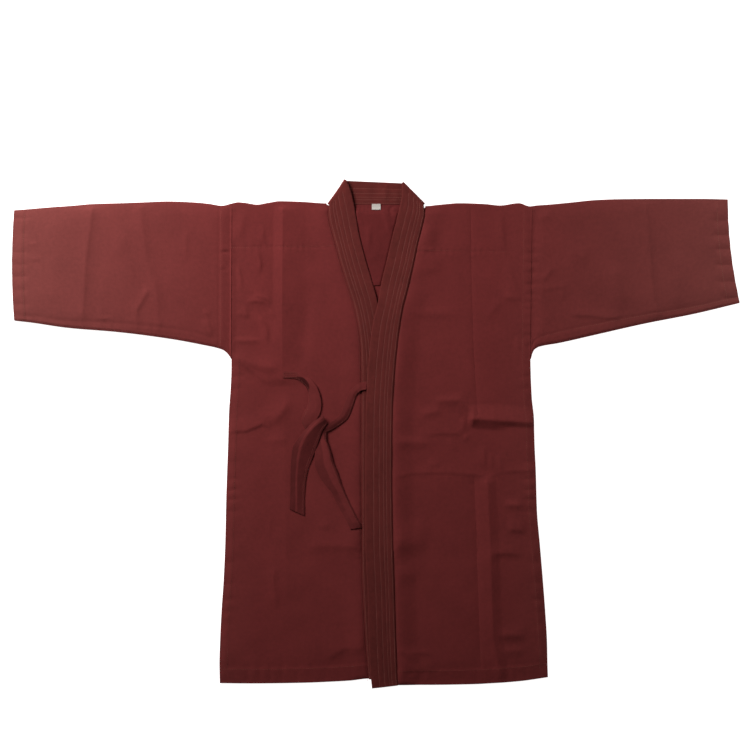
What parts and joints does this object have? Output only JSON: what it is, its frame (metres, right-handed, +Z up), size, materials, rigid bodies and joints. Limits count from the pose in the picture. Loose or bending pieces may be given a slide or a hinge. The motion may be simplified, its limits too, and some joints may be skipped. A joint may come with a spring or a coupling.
{
  "type": "kendo jacket",
  "caption": "Single-layer cotton kendo jacket laid flat on its back, its fronts crossed left over right and held by a tied pair of chest ties.",
  "frame": {"origin": "on the surface that the jacket lies on, below the middle of its overall box", "axes": "+X to the wearer's left, +Y from the hem towards the collar, +Z up from the surface"},
  "size_m": [1.2667, 0.8855, 0.0141],
  "materials": {
    "cloth": "matt slubby plain-weave cotton, dyed maroon",
    "collar_cloth": "matt cotton, padded and stitched in rows, browner than the body",
    "tie_cloth": "matt cotton strip, topstitched along its edges",
    "label": "smooth woven tape, blank"
  },
  "bodies": {
    "root": {"body_right": "cloth", "body_left": "cloth", "sleeve_right": "cloth", "sleeve_left": "cloth", "collar": "collar_cloth", "neck_lining": "cloth", "size_label": "label", "tie_right": "tie_cloth", "tie_right_tail": "tie_cloth", "tie_left": "tie_cloth"}
  },
  "joints": []
}
